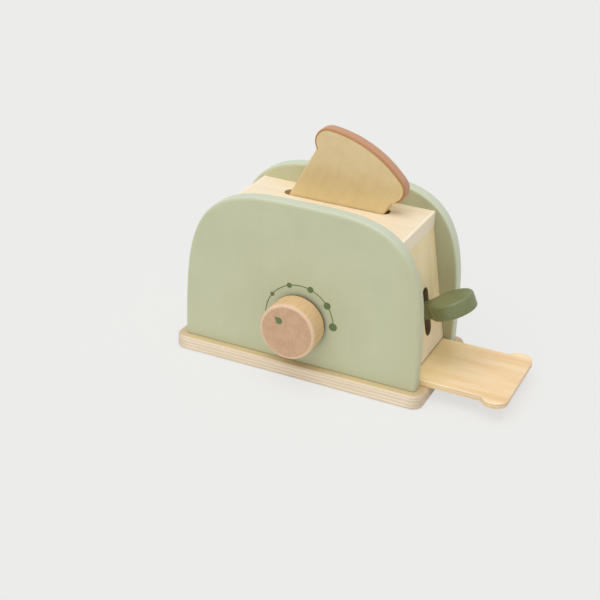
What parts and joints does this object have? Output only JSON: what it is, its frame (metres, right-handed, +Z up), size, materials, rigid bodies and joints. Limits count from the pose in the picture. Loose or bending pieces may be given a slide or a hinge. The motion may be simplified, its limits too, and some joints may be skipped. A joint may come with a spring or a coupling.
{
  "type": "toy toaster",
  "caption": "Wooden toy toaster with arched painted panels, toast slots, a rocking lever, a turning knob on a printed dial, a sliding tray and a loose slice of toast.",
  "frame": {"origin": "middle of the base board's underside, on the surface the toaster stands on", "axes": "+X along the toaster to the end with the lever and the tray, -Y to the front with the knob, +Z up"},
  "size_m": [0.2756, 0.1282, 0.1863],
  "materials": {
    "plywood": "birch plywood, clear matt varnish, plies showing at the edges",
    "sage_paint": "wood board under matt sage green paint",
    "pale_wood": "pale solid wood, clear matt varnish",
    "dowel_wood": "beech dowel, plain",
    "steel": "bright zinc-plated steel",
    "green_print": "matt green printing ink",
    "fibre": "dark fibre washer",
    "beech": "solid beech, clear satin varnish",
    "olive_paint": "wood board under satin olive green paint",
    "tray_plywood": "thin birch plywood, clear satin varnish",
    "toast_wood": "pale wood with a toasted brown painted edge round the head"
  },
  "bodies": {
    "casing": {"base_board": "plywood", "front_panel": "sage_paint", "rear_panel": "sage_paint", "top_board": "pale_wood", "left_end_wall": "pale_wood", "right_end_wall": "pale_wood", "floor_board": "plywood", "centre_divider": "pale_wood", "lever_axle": "dowel_wood", "knob_washer": "fibre", "base_screws": "steel", "top_board_dowels": "dowel_wood", "left_wall_dowels": "dowel_wood", "right_wall_dowels": "dowel_wood", "divider_dowels": "dowel_wood", "dial_print": "green_print"},
    "knob": {"knob": "beech", "knob_axle": "dowel_wood", "knob_retainer": "beech", "knob_pointer": "green_print"},
    "lever": {"lever": "olive_paint", "lift_bar": "steel"},
    "tray": {"tray": "tray_plywood"},
    "toast": {"toast_slice": "toast_wood"}
  },
  "joints": [
    {"name": "knob_turn", "type": "hinge", "parent": "casing", "child": "knob", "pos_m": [0.0009, -0.0615, 0.0485], "axis": [0, -1, 0], "continuous": true},
    {"name": "lever_press", "type": "hinge", "parent": "casing", "child": "lever", "pos_m": [0.06771, 0.0057, 0.04604], "axis": [0, 1, 0], "range_deg": [0, 33.7]},
    {"name": "tray_slide", "type": "slide", "parent": "casing", "child": "tray", "axis": [1, 0, 0], "range_m": [-0.047, 0.095]},
    {"name": "toast_lift", "type": "slide", "parent": "casing", "child": "toast", "axis": [0.4571, 0, 0.8894], "range_m": [0, 0.06]}
  ]
}
